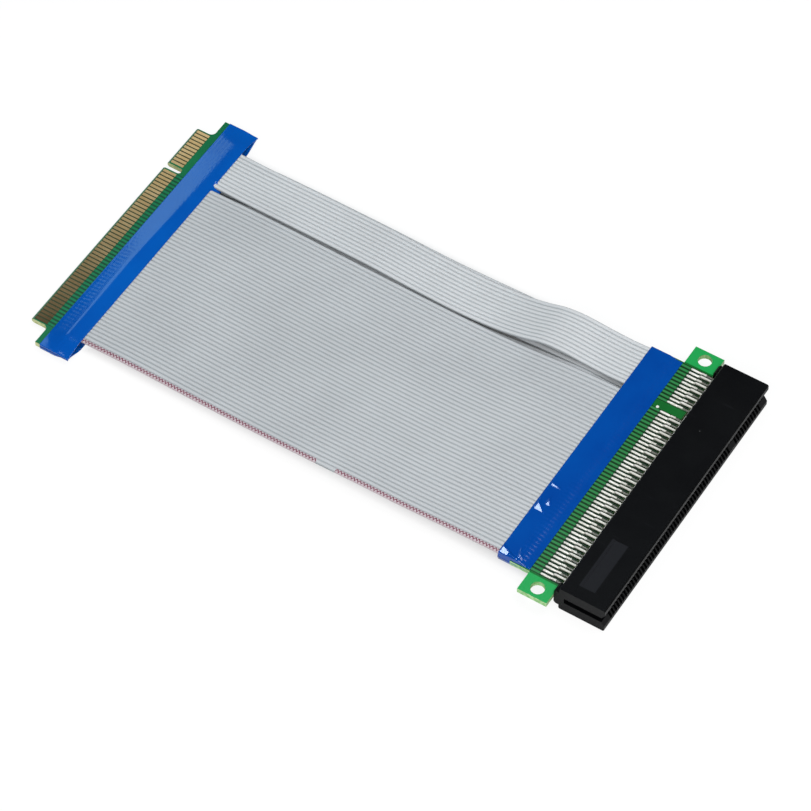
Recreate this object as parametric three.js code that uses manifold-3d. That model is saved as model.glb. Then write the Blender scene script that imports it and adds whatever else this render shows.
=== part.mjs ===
// A riser cable: a card-edge board, a board with a card socket, and two layers of flat ribbon soldered
// between them under blue insulating tape. Millimetres, +X from the card edge to the socket, +Z up.

import * as THREE from 'three';
import { mergeVertices } from 'three/addons/utils/BufferGeometryUtils.js';
import Module from 'manifold-3d';

const wasm = await Module();
wasm.setup();

// Contact grid: a long group, a key two places wide, and a short group
const pitch = 1.27;
const longCount = 49;
const keyCount = 2;
const shortCount = 11;

// Stock and fits
const boardThickness = 1.6;
const copperThickness = 0.05;
const tapeThickness = 0.12;
const seatGap = 0.1;

// Edge board
const edgeBoardLength = 91.6;
const edgeBoardDepth = 11.2;
const edgeBoardShift = 0.9;
const tongueDepth = 5.45;
const tongueMargin = 0.95;
const shoulderFillet = 1.5;
const notchWidth = 1.9;
const notchDepth = 5.3;
const bevelLength = 0.6;
const bevelHeight = 0.4;
const fingerWidth = 0.86;
const fingerLength = 4;

// Ribbons
const ribbonLength = 139.1;
const ribbonThickness = 0.9;
const valleyDepth = 0.28;
const wireDiameter = 0.3;
const ribbonEndGap = 0.2;
const ribbonSpacing = 1.25;
const tapedEnd = 6;
const longSteps = 6;
const shortSteps = 13;
const flatFaceSpan = 12;

// Tape
const edgeTapeWidth = 9.2;
const edgeTapeOnBoard = 4.2;
const edgeTapeOverhang = 0.4;
const socketTapeWidth = 9.5;
const socketTapeOnRibbon = 3.7;
const socketTapeOverhang = 0.3;
const tapeRamp = 3;

// Socket board
const socketBoardLength = 92;
const neckMargin = 0.95;
const neckDepth = 6;
const tabDepth = 8.7;
const holeShareOfTab = 0.59;
const holeFromTabFront = 4.4;
const holeFromEndShare = 0.44;
const padFromTabFront = 2.7;

// Socket housing
const housingLength = 85;
const housingHeight = 13.5;
const housingThickness = 8.7;
const slotWidth = 1.9;
const slotFloor = 1.5;
const leadInWidth = 4.9;
const leadInDepth = 0.9;
const cellWidth = 0.78;
const cellInner = 0.6;
const cellOuter = 2.75;
const keyRibThickness = 1.6;
const keyRibSetBack = 1.6;
const footLength = 1.5;
const footSpread = 5.5;
const footWidth = 2.9;
const footChamfer = 0.6;
const edgeRadius = 0.35;
const plateLength = 17;
const plateWidth = 4.6;
const plateFromEnd = 3.6;
const plateDepth = 0.12;

// Contacts
const contactWidth = 0.46;
const contactThickness = 0.24;
const tailLanding = 3.4;
const outerRowOffset = 1.4;
const stemBend = 0.8;
const touchOffset = 0.72;
const touchDepth = 3.3;
const tipDepth = 1.5;
const tipOffset = 1.5;

// Places along X, each from the one before
const contactCount = longCount + keyCount + shortCount;
const ribbonStart = edgeBoardDepth + ribbonEndGap;
const ribbonEnd = ribbonStart + ribbonLength;
const socketBoardStart = ribbonEnd + ribbonEndGap;
const tabStart = socketBoardStart + neckDepth;
const socketBoardEnd = tabStart + tabDepth;
const housingStart = socketBoardEnd + seatGap + footLength;
const housingEnd = housingStart + housingHeight;

// Heights: the lower ribbon lies on its tape, and the socket stands on its own side
const layerOffset = boardThickness / 2 + copperThickness + wireDiameter / 2;
const edgeMiddle = tapeThickness + seatGap + ribbonThickness / 2 + layerOffset;
const socketMiddle = housingThickness / 2;

// Places along Y, from the middle of the contact rows
const rowLength = (contactCount - 1) * pitch;
const gridEdge = rowLength / 2 + pitch / 2;
const keyMiddle = contactPlace(longCount + (keyCount + 1) / 2);
const groups = [
  { name: 'wide', first: 1, count: longCount, steps: longSteps },
  { name: 'narrow', first: longCount + keyCount + 1, count: shortCount, steps: shortSteps },
];

// Hand-laid routes: share of the length, sideways shift of the upper and the lower ribbon, lift, dip of the
// far edge, and how much further than usual the upper ribbon stands off the lower one
const routes = {
  wide: [
    [0, 0, 0, 0, 0, 0], [0.15, -0.1, 1.3, 0.1, 0, 0], [0.3, -0.3, 1.4, 0, 0, 0],
    [0.47, -0.45, 1.3, 0.1, -0.5, 0], [0.66, -0.35, 0.6, 0.2, -1.5, 0], [0.76, -0.3, 1.2, 0, -1.1, 0],
    [0.88, -0.1, 1.4, 0.1, -0.3, 0], [1, 0, 0.3, 0, 0, 0],
  ],
  narrow: [
    [0, 0, 0, 0, 0, 0], [0.05, 0, 0, 0, 0, 0], [0.13, -1.3, -0.5, 0.15, 0, 0],
    [0.24, -2, -0.8, 0.3, 0, 0.1], [0.4, -2.1, -0.9, 0.2, 0, 0.1], [0.52, -2.25, -0.8, -0.65, 0, 0],
    [0.62, -2.2, -0.5, -1.2, 0, 0], [0.7, -1.9, -0.5, -0.85, 0, 0.2], [0.75, -1.8, -0.5, 0.4, 0, 1.1],
    [0.79, -1.4, -0.5, 1.6, 0, 1.9], [0.83, -0.9, -0.4, 1.4, 0, 1.6], [0.89, -0.6, -0.3, 0.3, 0, 0.4],
    [0.95, -0.7, 0, 0, 0, 0], [1, 0, 0, 0, 0, 0],
  ],
};

function contactPlace(position) {
  return (position - (contactCount + 1) / 2) * pitch;
}

function mix(a, b, share) {
  return a + (b - a) * share;
}

function ease(value, from, to) {
  return THREE.MathUtils.smoothstep(value, from, to);
}

// Closed three.js geometry to a solid, and back
function toSolid(geometry) {
  const bare = geometry.clone();
  bare.deleteAttribute('normal');
  bare.deleteAttribute('uv');
  const merged = mergeVertices(bare, 1e-4);
  return new wasm.Manifold(new wasm.Mesh({
    numProp: 3,
    vertProperties: new Float32Array(merged.attributes.position.array),
    triVerts: new Uint32Array(merged.index.array),
  }));
}

function toGeometry(solid) {
  const mesh = solid.getMesh();
  const geometry = new THREE.BufferGeometry();
  geometry.setAttribute('position', new THREE.BufferAttribute(new Float32Array(mesh.vertProperties), 3));
  geometry.setIndex(new THREE.BufferAttribute(new Uint32Array(mesh.triVerts), 1));
  return geometry;
}

function join(solids) {
  return wasm.Manifold.union(solids);
}

// Box between two corners
function block(x0, x1, y0, y1, z0, z1) {
  const box = new THREE.BoxGeometry(x1 - x0, y1 - y0, z1 - z0);
  return box.translate((x0 + x1) / 2, (y0 + y1) / 2, (z0 + z1) / 2);
}

// Outline in X and Y, raised from z0 to z1
function plate(outline, z0, z1, curveSegments = 6) {
  const flat = new THREE.ExtrudeGeometry(outline, { depth: z1 - z0, bevelEnabled: false, curveSegments });
  return flat.translate(0, 0, z0);
}

// Outline in X and Z, drawn out along Y from y0 to y1
function profile(outline, y0, y1, curveSegments = 3) {
  const flat = new THREE.ExtrudeGeometry(outline, { depth: y1 - y0, bevelEnabled: false, curveSegments });
  return flat.rotateX(Math.PI / 2).translate(0, y1, 0);
}

function polygon(points) {
  return new THREE.Shape(points.map(([a, b]) => new THREE.Vector2(a, b)));
}

// Board outline with the tongue, its filleted shoulders and the round-ended key notch
function edgeBoardOutline() {
  const side = rowLength / 2 + tongueMargin;
  const end = edgeBoardLength / 2;
  const r = shoulderFillet;
  const notchLow = keyMiddle - notchWidth / 2;
  const notchHigh = keyMiddle + notchWidth / 2;
  const notchArc = notchDepth - notchWidth / 2;
  const outline = new THREE.Shape();
  outline.moveTo(edgeBoardDepth, -end);
  outline.lineTo(edgeBoardDepth, end);
  outline.lineTo(tongueDepth, end);
  outline.lineTo(tongueDepth, side + r);
  outline.absarc(tongueDepth - r, side + r, r, 0, -Math.PI / 2, true);
  outline.lineTo(0, side);
  outline.lineTo(0, notchHigh);
  outline.lineTo(notchArc, notchHigh);
  outline.absarc(notchArc, keyMiddle, notchWidth / 2, Math.PI / 2, -Math.PI / 2, true);
  outline.lineTo(0, notchLow);
  outline.lineTo(0, -side);
  outline.lineTo(tongueDepth - r, -side);
  outline.absarc(tongueDepth - r, -side - r, r, Math.PI / 2, 0, true);
  outline.lineTo(tongueDepth, -end);
  return outline;
}

// Section of the board with its bevelled leading edge
function edgeBoardSection() {
  const half = boardThickness / 2;
  return polygon([
    [0, -half + bevelHeight], [bevelLength, -half], [edgeBoardDepth, -half],
    [edgeBoardDepth, half], [bevelLength, half], [0, half - bevelHeight],
  ]);
}

// Card-edge board: fingers stand one copper thickness proud on both faces
function edgeBoard() {
  const half = boardThickness / 2;
  const face = half + copperThickness;
  const start = bevelLength + seatGap;
  const board = toSolid(plate(edgeBoardOutline(), -half, half))
    .intersect(toSolid(profile(edgeBoardSection(), -edgeBoardLength, edgeBoardLength)));
  const parts = [board];
  for (const group of groups) {
    for (let i = 0; i < group.count; i++) {
      const y = contactPlace(group.first + i);
      const finger = block(start, start + fingerLength, y - fingerWidth / 2, y + fingerWidth / 2, -face, face);
      parts.push(toSolid(finger));
    }
  }
  return join(parts);
}

// T-shaped board: a neck under the tape, and a tab with a mounting hole beyond each end of the rows
function socketBoardOutline() {
  const neck = gridEdge + neckMargin - pitch / 2;
  const end = socketBoardLength / 2;
  const tabWidth = end - gridEdge;
  const holeRadius = holeShareOfTab * tabWidth / 2;
  const holeMiddle = end - holeFromEndShare * tabWidth;
  const outline = polygon([
    [socketBoardStart, -neck], [tabStart, -neck], [tabStart, -end], [socketBoardEnd, -end],
    [socketBoardEnd, end], [tabStart, end], [tabStart, neck], [socketBoardStart, neck],
  ]);
  for (const side of [-1, 1]) {
    const hole = new THREE.Path();
    hole.absarc(tabStart + holeFromTabFront, side * holeMiddle, holeRadius, 0, 2 * Math.PI);
    outline.holes.push(hole);
  }
  return outline;
}

// Strip of even thickness along a line of points in X and Z
function strip(points, y) {
  const line = points.map(([x, z]) => new THREE.Vector2(x, z));
  const left = [];
  const right = [];
  line.forEach((point, i) => {
    const before = line[Math.max(i - 1, 0)];
    const after = line[Math.min(i + 1, line.length - 1)];
    const into = point.clone().sub(before).normalize();
    const out = after.clone().sub(point).normalize();
    const along = into.clone().add(out).normalize();
    const across = new THREE.Vector2(-along.y, along.x);
    const bend = i === 0 ? out : into;
    const reach = contactThickness / 2 / Math.max(along.dot(bend), 0.5);
    left.push(point.clone().addScaledVector(across, reach));
    right.unshift(point.clone().addScaledVector(across, -reach));
  });
  return profile(new THREE.Shape([...left, ...right]), y - contactWidth / 2, y + contactWidth / 2);
}

// One contact: a tail soldered to the board, a stem through the socket's base and a bowed spring in its cell.
// Every other contact stands in the outer row, and its tail steps down to the board.
function contact(position, outer, side) {
  const low = boardThickness / 2 + contactThickness / 2 - copperThickness;
  const landing = tabStart + padFromTabFront;
  const points = [[landing, low]];
  if (outer) {
    points.push([landing + tailLanding, low], [housingStart - stemBend, outerRowOffset]);
  }
  points.push([housingEnd - touchDepth, touchOffset], [housingEnd - tipDepth, tipOffset]);
  return strip(points.map(([x, z]) => [x, side * z]), contactPlace(position));
}

// Socket board with all its contacts soldered on, seen as one piece
function socketBoard() {
  const half = boardThickness / 2;
  const parts = [toSolid(plate(socketBoardOutline(), -half, half, 8))];
  for (const group of groups) {
    for (let i = 0; i < group.count; i++) {
      for (const side of [-1, 1]) {
        parts.push(toSolid(contact(group.first + i, i % 2 === 1, side)));
      }
    }
  }
  return join(parts);
}

// Section of the housing: a deep card slot that opens through a sloping lead-in
function housingSection() {
  const x0 = housingStart;
  const x1 = housingEnd;
  const half = housingThickness / 2;
  const r = edgeRadius;
  const slot = slotWidth / 2;
  const mouth = leadInWidth / 2;
  return polygon([
    [x0 + r, -half], [x1 - r, -half], [x1, -half + r], [x1, -mouth], [x1 - leadInDepth, -slot],
    [x0 + slotFloor, -slot], [x0 + slotFloor, slot], [x1 - leadInDepth, slot], [x1, mouth],
    [x1, half - r], [x1 - r, half], [x0 + r, half], [x0, half - r], [x0, -half + r],
  ]);
}

// Foot that keeps the housing off the board's edge
function housingFoot(side) {
  const x0 = housingStart - footLength;
  const half = footSpread / 2;
  const c = footChamfer;
  const outline = polygon([
    [housingStart + edgeRadius, -half], [housingStart + edgeRadius, half], [x0 + c, half],
    [x0, half - c], [x0, -half + c], [x0 + c, -half],
  ]);
  const outerY = side * housingLength / 2;
  const innerY = outerY - side * footWidth;
  return profile(outline, Math.min(outerY, innerY), Math.max(outerY, innerY));
}

// Rib that fills the slot at the key
function keyRib() {
  const half = keyRibThickness / 2;
  const reach = slotWidth / 2 + edgeRadius;
  return block(housingStart + slotFloor / 2, housingEnd - keyRibSetBack,
    keyMiddle - half, keyMiddle + half, -reach, reach);
}

// Cell for one contact, open to the slot, the mating face and the base
function contactCell(position, side) {
  const y = contactPlace(position);
  const z = [side * cellInner, side * cellOuter].sort((a, b) => a - b);
  const past = 1;
  return block(housingStart - past, housingEnd + past, y - cellWidth / 2, y + cellWidth / 2, z[0], z[1]);
}

// Shallow bare panel sunk in the top face, near its first end
function sunkPanel() {
  const top = housingThickness / 2;
  const middle = housingStart + housingHeight / 2;
  const y0 = -housingLength / 2 + plateFromEnd;
  return block(middle - plateWidth / 2, middle + plateWidth / 2, y0, y0 + plateLength, top - plateDepth, top + 1);
}

// Moulded socket housing, lying on its side
function socketHousing() {
  const body = join([
    toSolid(profile(housingSection(), -housingLength / 2, housingLength / 2)),
    toSolid(housingFoot(-1)),
    toSolid(housingFoot(1)),
    toSolid(keyRib()),
  ]);
  const cuts = [toSolid(sunkPanel())];
  for (const group of groups) {
    for (let i = 0; i < group.count; i++) {
      cuts.push(toSolid(contactCell(group.first + i, -1)), toSolid(contactCell(group.first + i, 1)));
    }
  }
  return body.subtract(join(cuts));
}

// Ribbon section: a ridge over each conductor on the outer face, flat on the face turned to the other layer
function ribbonSection(group, side) {
  const half = ribbonThickness / 2;
  const edge = contactPlace(group.first) - pitch / 2;
  const points = [];
  for (let i = 0; i < group.count; i++) {
    const middle = edge + (i + 0.5) * pitch;
    points.push([middle - pitch / 2, half - valleyDepth], [middle, half]);
  }
  const last = edge + group.count * pitch;
  points.push([last, half - valleyDepth]);
  const spans = Math.max(2, Math.round(group.count / flatFaceSpan));
  for (let i = spans; i >= 0; i--) {
    points.push([mix(edge, last, i / spans), -half]);
  }
  return polygon(points.map(([y, z]) => [y, side * z]));
}

// Place of a ribbon's middle line and the dip of its far edge at one share of its length
function routeAt(group, side, share) {
  const stations = routes[group.name];
  const spline = new THREE.CubicInterpolant(stations.map((s) => s[0]), stations.flatMap((s) => s.slice(1)), 5);
  const [shiftTop, shiftBottom, lift, dip, standOff] = spline.evaluate(share);
  const flat = tapedEnd / ribbonLength;
  const free = ease(share, flat, 3 * flat) * ease(1 - share, flat, 3 * flat);
  const climb = THREE.MathUtils.clamp((share - flat) / (1 - 2 * flat), 0, 1);
  const top = mix(edgeMiddle, socketMiddle, climb) + layerOffset + lift * free;
  const apart = mix(2 * layerOffset, ribbonSpacing + standOff, free);
  const shift = (side > 0 ? shiftTop : shiftBottom) * free;
  return {
    shift: shift + mix(edgeBoardShift, 0, ease(share, flat, 0.6)),
    height: side > 0 ? top : top - apart,
    dip: dip * free,
  };
}

// Ribbed ribbon laid along its route
function ribbon(group, side) {
  const geometry = new THREE.ExtrudeGeometry(ribbonSection(group, side), {
    depth: ribbonLength, steps: group.steps, bevelEnabled: false,
  });
  const place = geometry.attributes.position;
  const nearEdge = contactPlace(group.first) - pitch / 2;
  const width = group.count * pitch;
  for (let i = 0; i < place.count; i++) {
    const across = place.getX(i);
    const along = place.getZ(i);
    const route = routeAt(group, side, along / ribbonLength);
    const dip = route.dip * ease(across, nearEdge, nearEdge + width);
    place.setXYZ(i, ribbonStart + along, across + route.shift, place.getY(i) + route.height + dip);
  }
  return toSolid(geometry);
}

// Thin sheet between two X and two Y places, draped to a height that depends on the place
function sheet(xs, ys, underside) {
  const box = new THREE.BoxGeometry(1, 1, tapeThickness, xs.length - 1, ys.length - 1, 1);
  const place = box.attributes.position;
  for (let i = 0; i < place.count; i++) {
    const x = xs[Math.round((place.getX(i) + 0.5) * (xs.length - 1))];
    const y = ys[Math.round((place.getY(i) + 0.5) * (ys.length - 1))];
    place.setXYZ(i, x, y, place.getZ(i) + tapeThickness / 2 + underside(x, y));
  }
  return toSolid(box);
}

// Tape over the joint of the edge board. It lies on the board in front, steps up over the ribbons, and its
// two sheets meet beyond the ribbons' sides.
function edgeTape(side) {
  const front = edgeBoardDepth - edgeTapeOnBoard;
  const back = front + edgeTapeWidth;
  const end = edgeBoardLength / 2 + edgeTapeOverhang / 2;
  const xs = [front, front + 1, mix(front + 1, edgeBoardDepth, 0.5), edgeBoardDepth - seatGap,
    edgeBoardDepth + 1, mix(edgeBoardDepth, back, 0.6), back];
  const inner = gridEdge + 2 * seatGap;
  const outer = mix(inner, end, 0.5);
  const ys = [-end, -outer, -inner, -gridEdge / 2, 0, gridEdge / 2, inner, outer, end];
  const onBoard = boardThickness / 2 + seatGap;
  const onRibbon = layerOffset + ribbonThickness / 2 + seatGap;
  const meet = boardThickness / 4;
  return sheet(xs, ys.map((y) => y + edgeBoardShift), (x, y) => {
    const reach = Math.abs(y - edgeBoardShift);
    const overRibbon = mix(onBoard, onRibbon, ease(x, front + 1, edgeBoardDepth - seatGap));
    const beside = mix(onBoard, side * meet + seatGap / 2, ease(x, edgeBoardDepth, back));
    const rise = mix(overRibbon, beside, ease(reach, inner, end));
    return edgeMiddle + side * rise - (side < 0 ? tapeThickness : 0);
  });
}

// Tape over the joint of the socket board, as wide as the ribbons
function socketTape(side) {
  const start = socketBoardStart - socketTapeOnRibbon;
  const end = Math.min(start + socketTapeWidth, tabStart - seatGap);
  const half = gridEdge + socketTapeOverhang;
  const xs = [start, socketBoardStart, mix(socketBoardStart, end, 0.4), end - 1, end];
  const ys = [-half, -gridEdge / 2, 0, gridEdge / 2, half];
  const onBoard = boardThickness / 2 + seatGap;
  const onRibbon = layerOffset + ribbonThickness / 2 + seatGap;
  return sheet(xs, ys, (x) => {
    const rise = mix(onRibbon, onBoard, ease(x, end - 1 - tapeRamp, end - 1));
    return socketMiddle + side * rise - (side < 0 ? tapeThickness : 0);
  });
}

const finishes = {
  solderMask: { color: 0x0b7a4a, roughness: 0.35, metalness: 0 },
  socketMask: { color: 0x1f9a4c, roughness: 0.35, metalness: 0 },
  blackPlastic: { color: 0x141517, roughness: 0.42, metalness: 0 },
  greyVinyl: { color: 0xc3c6c8, roughness: 0.5, metalness: 0 },
  blueFilm: { color: 0x0046a0, roughness: 0.16, metalness: 0 },
};

function piece(name, solid, finish, x = 0, y = 0, z = 0) {
  const mesh = new THREE.Mesh(toGeometry(solid), new THREE.MeshStandardMaterial(finish));
  mesh.name = name;
  mesh.position.set(x, y, z);
  return mesh;
}

// The assembly stands with the middle of its footprint over the origin
const model = new THREE.Group();
const nearSide = Math.min(-socketBoardLength / 2, edgeBoardShift - edgeBoardLength / 2);
const farSide = Math.max(socketBoardLength / 2, edgeBoardShift + edgeBoardLength / 2 + edgeTapeOverhang / 2);
model.position.set(-housingEnd / 2, -(nearSide + farSide) / 2, 0);

model.add(piece('edge_board', edgeBoard(), finishes.solderMask, 0, edgeBoardShift, edgeMiddle));
model.add(piece('socket_board', socketBoard(), finishes.socketMask, 0, 0, socketMiddle));
model.add(piece('socket_housing', socketHousing(), finishes.blackPlastic, 0, 0, socketMiddle));
for (const group of groups) {
  model.add(piece(`ribbon_${group.name}_top`, ribbon(group, 1), finishes.greyVinyl));
  model.add(piece(`ribbon_${group.name}_bottom`, ribbon(group, -1), finishes.greyVinyl));
}
model.add(piece('edge_tape_top', edgeTape(1), finishes.blueFilm));
model.add(piece('edge_tape_bottom', edgeTape(-1), finishes.blueFilm));
model.add(piece('socket_tape_top', socketTape(1), finishes.blueFilm));
model.add(piece('socket_tape_bottom', socketTape(-1), finishes.blueFilm));

export default model;
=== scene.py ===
import math

import bmesh
import bpy
from mathutils import Matrix, Vector


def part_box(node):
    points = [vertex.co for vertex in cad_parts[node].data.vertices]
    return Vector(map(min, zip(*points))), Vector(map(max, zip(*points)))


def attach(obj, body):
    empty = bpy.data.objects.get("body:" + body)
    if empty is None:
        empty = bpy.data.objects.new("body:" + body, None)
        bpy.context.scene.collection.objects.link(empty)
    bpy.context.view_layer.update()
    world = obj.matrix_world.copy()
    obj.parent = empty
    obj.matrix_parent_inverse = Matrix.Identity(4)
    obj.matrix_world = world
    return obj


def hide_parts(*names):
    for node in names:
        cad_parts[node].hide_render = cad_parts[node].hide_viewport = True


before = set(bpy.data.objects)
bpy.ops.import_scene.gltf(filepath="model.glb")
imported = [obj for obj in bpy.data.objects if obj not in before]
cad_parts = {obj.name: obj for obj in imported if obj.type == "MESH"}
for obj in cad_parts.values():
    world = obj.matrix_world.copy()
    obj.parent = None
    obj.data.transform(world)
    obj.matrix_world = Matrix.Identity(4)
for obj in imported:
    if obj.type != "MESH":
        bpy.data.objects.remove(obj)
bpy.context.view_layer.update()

mm = 0.001


# Small helpers

def mix(a, b, share):
    return a + (b - a) * share


def ease(value, low, high):
    t = min(max((value - low) / (high - low), 0.0), 1.0)
    return t * t * (3 - 2 * t)


def hexColor(text):
    # sRGB hex to the linear colour that shaders take
    values = [int(text[i:i + 2], 16) / 255 for i in (1, 3, 5)]
    linear = [v / 12.92 if v <= 0.04045 else ((v + 0.055) / 1.055) ** 2.4 for v in values]
    return (*linear, 1.0)


def node(tree, kind, inputs=None, **settings):
    # One node with its settings, and its inputs as plain values or links from other nodes' sockets
    made = tree.nodes.new(kind)
    for name, value in settings.items():
        setattr(made, name, value)
    for name, value in (inputs or {}).items():
        socket = made.inputs[name]
        if isinstance(value, bpy.types.NodeSocket):
            tree.links.new(value, socket)
        else:
            socket.default_value = value
    return made


def newMaterial(name):
    material = bpy.data.materials.new(name)
    material.use_nodes = True
    tree = material.node_tree
    tree.nodes.clear()
    return material, tree


def finishMaterial(tree, surface):
    node(tree, "ShaderNodeOutputMaterial", {"Surface": surface})


def ramp(tree, factor, stops):
    made = node(tree, "ShaderNodeValToRGB", {"Fac": factor})
    elements = made.color_ramp.elements
    while len(elements) < len(stops):
        elements.new(0.5)
    for element, (place, color) in zip(elements, stops):
        element.position = place
        element.color = color if len(color) == 4 else (*color, 1.0)
    return made.outputs["Color"]


def mathNode(tree, operation, *values):
    return node(tree, "ShaderNodeMath", dict(enumerate(values)), operation=operation).outputs[0]


def mixColor(tree, factor, a, b, blend="MIX"):
    made = node(tree, "ShaderNodeMix", data_type="RGBA", blend_type=blend)
    for socket, value in ((made.inputs[0], factor), (made.inputs[6], a), (made.inputs[7], b)):
        if isinstance(value, bpy.types.NodeSocket):
            tree.links.new(value, socket)
        else:
            socket.default_value = value
    return made.outputs[2]


def within(tree, value, low, high):
    # 1 where a place in metres lies between two places in millimetres
    return mathNode(tree, "COMPARE", value, (low + high) / 2 * mm, (high - low) / 2 * mm)


def meshObject(name, bm, material, smooth=True):
    mesh = bpy.data.meshes.new(name)
    bm.to_mesh(mesh)
    bm.free()
    made = bpy.data.objects.new(name, mesh)
    bpy.context.scene.collection.objects.link(made)
    mesh.materials.append(material)
    if smooth:
        for face in mesh.polygons:
            face.use_smooth = True
    return made


# Places read from the frame, in millimetres

def span(name, axis):
    low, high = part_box(name)
    return low[axis] / mm, high[axis] / mm


grid = {"pitch": 1.27, "longCount": 49, "keyCount": 2, "shortCount": 11}
contactCount = grid["longCount"] + grid["keyCount"] + grid["shortCount"]
halfRow = (contactCount - 1) * grid["pitch"] / 2
gridEdge = halfRow + grid["pitch"] / 2

housingX = span("socket_housing", 0)
housingY = span("socket_housing", 1)
housingZ = span("socket_housing", 2)
rowMiddle = sum(housingY) / 2
socketMiddle = sum(housingZ) / 2
edgeX = span("edge_board", 0)
edgeShift = sum(span("edge_board", 1)) / 2 - rowMiddle
edgeMiddle = sum(span("edge_board", 2)) / 2
ribbonX = span("ribbon_wide_top", 0)
ribbonLength = ribbonX[1] - ribbonX[0]

board = {"thickness": 1.6, "copper": 0.05, "wire": 0.3, "tabDepth": 8.7, "seatGap": 0.1, "housingHeight": 13.5}
socketBoardEnd = housingX[0] - board["seatGap"]
tabFront = socketBoardEnd - board["tabDepth"]
housingFace = housingX[1] - board["housingHeight"]      # its base, a foot's length beyond the board's end
layerOffset = board["thickness"] / 2 + board["copper"] + board["wire"] / 2
groups = {
    "wide": {"first": 1, "count": grid["longCount"], "stations": 84},
    "narrow": {"first": contactCount - grid["shortCount"] + 1, "count": grid["shortCount"], "stations": 110},
}


def contactPlace(position):
    return rowMiddle + (position - (contactCount + 1) / 2) * grid["pitch"]


def bandOf(first, last, past):
    # From past before one contact to past beyond another, along Y
    return contactPlace(first) - past, contactPlace(last) + past


keyMiddle = contactPlace(grid["longCount"] + (grid["keyCount"] + 1) / 2)
longY = bandOf(1, grid["longCount"], 0.6)
shortY = bandOf(groups["narrow"]["first"], contactCount, 0.6)
rowsY = bandOf(1, contactCount, 1.2)


# Materials

# Printed zigzag on the first conductor, in millimetres along and across it
edgePrint = {
    "halfRepeat": 0.5, "swing": 0.75, "from": 0.22, "halfLine": 0.24, "reach": 1.2,
    "skipMiddle": 83.0, "skipHalf": 3.0,
}


def ribbonMaterial():
    # Extruded grey PVC: soft satin ridges with painted highlights on their crowns and painted shade in the
    # valleys, and a red dashed zigzag printed on the first conductor
    material, tree = newMaterial("extrudedGreyVinyl")
    uv = node(tree, "ShaderNodeUVMap", uv_map="layMap").outputs["UV"]
    parts = node(tree, "ShaderNodeSeparateXYZ", {0: uv}).outputs
    along, across = parts["X"], parts["Y"]
    place = node(tree, "ShaderNodeTexCoord").outputs["Object"]
    cloud = node(tree, "ShaderNodeTexNoise", {"Vector": place, "Scale": 45.0, "Detail": 2.0})
    tint = ramp(tree, cloud.outputs["Fac"], [(0.3, hexColor("#BDC0C3")), (0.7, hexColor("#C4C7CA"))])
    # Painted highlight and shade: each ridge is painted lighter on its crown and darker in the valley between
    # two conductors
    ridge = mathNode(tree, "PINGPONG", mathNode(tree, "DIVIDE", across, grid["pitch"]), 0.5)
    crown = ramp(tree, mathNode(tree, "MULTIPLY", ridge, 2.0),
                 [(0.0, hexColor("#C8CCCE")), (0.25, hexColor("#E2E5E6")), (0.55, hexColor("#FFFFFF"))])
    base = mixColor(tree, 1.0, tint, crown, "MULTIPLY")
    # Painted light: the narrow ribbon is painted a little lighter all along, standing in for the light it
    # catches
    narrow = mathNode(tree, "GREATER_THAN", across, (grid["longCount"] + 1) * grid["pitch"])
    base = mixColor(tree, narrow, base, mixColor(tree, 1.0, base, (1.17, 1.16, 1.15, 1.0), "MULTIPLY"))
    # Zigzag print of short slanting dashes across the first conductor
    wave = mathNode(tree, "PINGPONG", along, edgePrint["halfRepeat"])
    swing = mathNode(tree, "MULTIPLY_ADD", wave, edgePrint["swing"] / edgePrint["halfRepeat"], edgePrint["from"])
    off = mathNode(tree, "ABSOLUTE", mathNode(tree, "SUBTRACT", across, swing))
    printed = mathNode(tree, "LESS_THAN", off, edgePrint["halfLine"])
    first = mathNode(tree, "LESS_THAN", across, edgePrint["reach"])
    # The print misses a short stretch in the middle of the cable
    skipped = mathNode(tree, "COMPARE", along, edgePrint["skipMiddle"], edgePrint["skipHalf"])
    shown = mathNode(tree, "MULTIPLY", first, mathNode(tree, "SUBTRACT", 1.0, skipped))
    pale = mixColor(tree, mathNode(tree, "MULTIPLY", shown, 0.7), base, hexColor("#C9B4BB"))
    marked = mixColor(tree, mathNode(tree, "MULTIPLY", printed, shown), pale, hexColor("#7A3A4C"))
    grain = node(tree, "ShaderNodeTexNoise", {"Vector": place, "Scale": 2600.0, "Detail": 2.0})
    bump = node(tree, "ShaderNodeBump", {
        "Strength": 0.06, "Distance": 0.0001, "Height": grain.outputs["Fac"]})
    vinyl = node(tree, "ShaderNodeBsdfPrincipled", {
        "Base Color": marked, "Roughness": 0.46, "IOR": 1.53, "Normal": bump.outputs["Normal"],
    })
    finishMaterial(tree, vinyl.outputs["BSDF"])
    return material


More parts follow.
